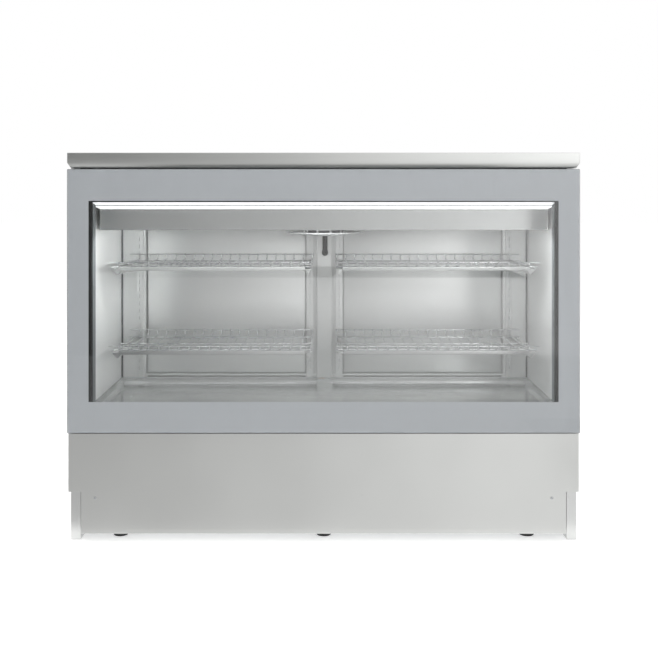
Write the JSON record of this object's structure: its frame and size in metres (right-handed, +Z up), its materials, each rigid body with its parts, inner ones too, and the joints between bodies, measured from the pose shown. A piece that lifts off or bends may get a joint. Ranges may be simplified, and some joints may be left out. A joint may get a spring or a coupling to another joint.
{
  "type": "refrigerated display counter",
  "caption": "Bar-height refrigerated display counter: glazed front, stainless cabinet, wire shelves, hinged back doors and a plug-in cooling unit in its base.",
  "frame": {"origin": "on the floor under the middle of the cabinet", "axes": "+X to the customer's right along the counter's length, -Y towards the customer, +Z up"},
  "size_m": [1.5, 0.6, 1.148],
  "materials": {
    "stainless": "satin",
    "foam": "matte",
    "grey_profile": "satin",
    "clear_glass": "gloss",
    "grey_print": "gloss",
    "black_spacer": "matte",
    "opal": "satin",
    "aluminium": "satin",
    "black_metal": "satin",
    "black_plastic": "satin",
    "white_plastic": "satin",
    "shelf_wire": "polished",
    "galvanised": "satin",
    "grey_plastic": "satin",
    "green_plastic": "gloss",
    "copper": "satin",
    "grey_rubber": "matte"
  },
  "bodies": {
    "cabinet": {"worktop": "stainless", "outer_panels": "stainless", "cabinet_foam": "foam", "inner_liner": "stainless", "floor_tray": "stainless", "glazing_frame": "grey_profile", "rear_frame": "stainless", "mullion": "stainless", "front_glass_outer": "clear_glass", "glass_border": "grey_print", "glass_spacer": "black_spacer", "front_glass_inner": "clear_glass", "lamp_diffuser": "opal", "led_strip": "aluminium", "evaporator_housing": "stainless", "evaporator_coil": "aluminium", "evaporator_fan_motor": "black_metal", "evaporator_fan_guard": "white_plastic", "temperature_probe": "black_plastic", "drain_pipe": "white_plastic", "shelf_uprights": "stainless", "shelf_brackets": "stainless", "hinge_brackets": "stainless", "front_fascia": "stainless", "base_pan": "galvanised", "rear_grille": "stainless", "cable_gland": "black_plastic", "control_panel": "black_plastic", "compressor": "black_metal", "condenser_coil": "aluminium", "condenser_shroud": "galvanised", "condenser_fan_motor": "black_metal", "refrigerant_pipes": "copper", "condensate_tray": "white_plastic"},
    "door_left": {"door_left_skin": "stainless", "door_left_foam": "foam", "door_left_liner": "stainless", "door_left_gasket": "grey_rubber", "door_left_handle": "aluminium"},
    "door_right": {"door_right_skin": "stainless", "door_right_foam": "foam", "door_right_liner": "stainless", "door_right_gasket": "grey_rubber", "door_right_handle": "aluminium"},
    "shelf_upper_left": {"shelf_upper_left": "shelf_wire"},
    "shelf_upper_right": {"shelf_upper_right": "shelf_wire"},
    "shelf_lower_left": {"shelf_lower_left": "shelf_wire"},
    "shelf_lower_right": {"shelf_lower_right": "shelf_wire"},
    "evaporator_fan": {"evaporator_fan_blades": "black_plastic"},
    "condenser_fan": {"condenser_fan_blades": "black_plastic"},
    "key_set": {"key_set": "grey_plastic"},
    "key_down": {"key_down": "grey_plastic"},
    "key_up": {"key_up": "grey_plastic"},
    "switch_rocker": {"switch_rocker": "green_plastic"},
    "foot_front_left": {"foot_front_left": "black_plastic"},
    "foot_front_middle": {"foot_front_middle": "black_plastic"},
    "foot_front_right": {"foot_front_right": "black_plastic"},
    "foot_back_left": {"foot_back_left": "black_plastic"},
    "foot_back_middle": {"foot_back_middle": "black_plastic"},
    "foot_back_right": {"foot_back_right": "black_plastic"}
  },
  "joints": [
    {"name": "door_left_swing", "type": "hinge", "parent": "cabinet", "child": "door_left", "pos_m": [-0.733, 0.281, 0.7], "axis": [0, 0, 1], "range_deg": [0, 105], "stiffness_Nm_per_rad": 0.6, "springref_deg": -11.46},
    {"name": "door_right_swing", "type": "hinge", "parent": "cabinet", "child": "door_right", "pos_m": [0.733, 0.281, 0.7], "axis": [0, 0, -1], "range_deg": [0, 105], "stiffness_Nm_per_rad": 0.6, "springref_deg": -11.46},
    {"name": "shelf_upper_left_lift", "type": "slide", "parent": "cabinet", "child": "shelf_upper_left", "axis": [0, 0, 1], "range_m": [0, 0.03]},
    {"name": "shelf_upper_right_lift", "type": "slide", "parent": "cabinet", "child": "shelf_upper_right", "axis": [0, 0, 1], "range_m": [0, 0.03]},
    {"name": "shelf_lower_left_lift", "type": "slide", "parent": "cabinet", "child": "shelf_lower_left", "axis": [0, 0, 1], "range_m": [0, 0.03]},
    {"name": "shelf_lower_right_lift", "type": "slide", "parent": "cabinet", "child": "shelf_lower_right", "axis": [0, 0, 1], "range_m": [0, 0.03]},
    {"name": "evaporator_fan_spin", "type": "hinge", "parent": "cabinet", "child": "evaporator_fan", "pos_m": [0, 0, 0.95], "axis": [0, 0, 1], "continuous": true},
    {"name": "condenser_fan_spin", "type": "hinge", "parent": "cabinet", "child": "condenser_fan", "pos_m": [-0.35, 0.165, 0.171], "axis": [0, 1, 0], "continuous": true},
    {"name": "key_set_press", "type": "slide", "parent": "cabinet", "child": "key_set", "axis": [0, -1, 0], "range_m": [0, 0.001], "stiffness_N_per_m": 400},
    {"name": "key_down_press", "type": "slide", "parent": "cabinet", "child": "key_down", "axis": [0, -1, 0], "range_m": [0, 0.001], "stiffness_N_per_m": 400},
    {"name": "key_up_press", "type": "slide", "parent": "cabinet", "child": "key_up", "axis": [0, -1, 0], "range_m": [0, 0.001], "stiffness_N_per_m": 400},
    {"name": "switch_rocker_tip", "type": "hinge", "parent": "cabinet", "child": "switch_rocker", "pos_m": [0.638, 0.257, 0.245], "axis": [1, 0, 0], "range_deg": [0, 8]},
    {"name": "foot_front_left_turn", "type": "hinge", "parent": "cabinet", "child": "foot_front_left", "pos_m": [-0.612, -0.208, 0.02], "axis": [0, 0, 1], "continuous": true},
    {"name": "foot_front_middle_turn", "type": "hinge", "parent": "cabinet", "child": "foot_front_middle", "pos_m": [0, -0.208, 0.02], "axis": [0, 0, 1], "continuous": true},
    {"name": "foot_front_right_turn", "type": "hinge", "parent": "cabinet", "child": "foot_front_right", "pos_m": [0.612, -0.208, 0.02], "axis": [0, 0, 1], "continuous": true},
    {"name": "foot_back_left_turn", "type": "hinge", "parent": "cabinet", "child": "foot_back_left", "pos_m": [-0.612, 0.208, 0.02], "axis": [0, 0, 1], "continuous": true},
    {"name": "foot_back_middle_turn", "type": "hinge", "parent": "cabinet", "child": "foot_back_middle", "pos_m": [0, 0.208, 0.02], "axis": [0, 0, 1], "continuous": true},
    {"name": "foot_back_right_turn", "type": "hinge", "parent": "cabinet", "child": "foot_back_right", "pos_m": [0.612, 0.208, 0.02], "axis": [0, 0, 1], "continuous": true}
  ]
}
